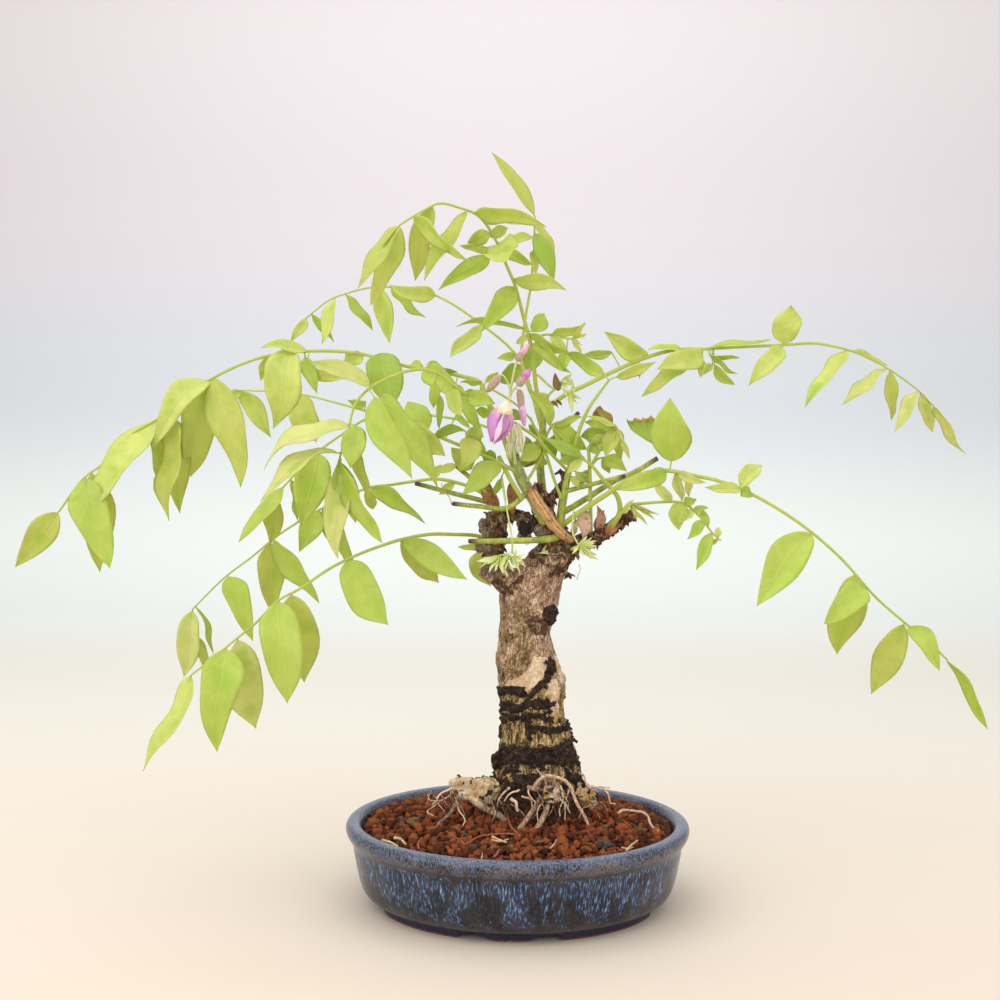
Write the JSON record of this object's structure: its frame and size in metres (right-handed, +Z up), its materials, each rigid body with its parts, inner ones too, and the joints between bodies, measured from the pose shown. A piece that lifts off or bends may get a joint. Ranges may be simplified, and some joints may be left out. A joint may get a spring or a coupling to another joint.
{
  "type": "potted wisteria bonsai",
  "caption": "Old stump-like trunk in a low glazed oval pot of red clay soil, with long arching leaves of pointed leaflets and a short lilac flower spray.",
  "frame": {"origin": "middle of the bounding box, on the table under the pot", "axes": "+Z up, +X to the right and +Y away from someone who looks at the front of the tree"},
  "size_m": [0.5496, 0.193, 0.4199],
  "materials": {
    "pot_glaze": "dark navy glaze with paler blue streaks over red-brown stoneware",
    "mesh_plastic": "black moulded drain mesh",
    "clay_granules": "brick-red clay granules with a few dark ones",
    "bark": "cracked tan bark, shaggy brown below",
    "shoot_green": "fresh green shoot with fine hairs",
    "leaf_green": "thin yellow-green leaflets with a satin face",
    "silky_green": "pale silky young leaves",
    "calyx_brown": "pinkish brown hairy calyces on pale stalks",
    "petal_lilac": "lilac pea petals with a white middle"
  },
  "bodies": {
    "root": {"pot": "pot_glaze", "drain_mesh_left": "mesh_plastic", "drain_mesh_right": "mesh_plastic", "soil": "clay_granules", "trunk": "bark", "shoot_hairy": "shoot_green", "shoot_middle": "shoot_green", "shoot_right": "shoot_green", "leaf_long_left": "leaf_green", "leaf_back_left": "leaf_green", "leaf_hanging_left": "leaf_green", "leaf_middle_left": "leaf_green", "leaf_low_mid_left": "leaf_green", "leaf_lowest_left": "leaf_green", "leaf_behind_stub": "leaf_green", "leaf_top_arch": "leaf_green", "leaf_top_upright": "leaf_green", "leaf_upper_left": "leaf_green", "leaf_long_right": "leaf_green", "leaf_low_right": "leaf_green", "leaf_small_right": "leaf_green", "leaf_crossing_right": "leaf_green", "leaf_upper_right": "leaf_green", "leaf_torn_right": "leaf_green", "leaf_centre": "leaf_green", "leaf_heart": "leaf_green", "tuft_left": "leaf_green", "tuft_right": "leaf_green", "tuft_silky": "silky_green", "flower_stalk": "calyx_brown", "petals_open_flower": "petal_lilac", "petals_first_bud": "petal_lilac", "petals_second_bud": "petal_lilac", "petals_hanging_bud": "petal_lilac"}
  },
  "joints": []
}
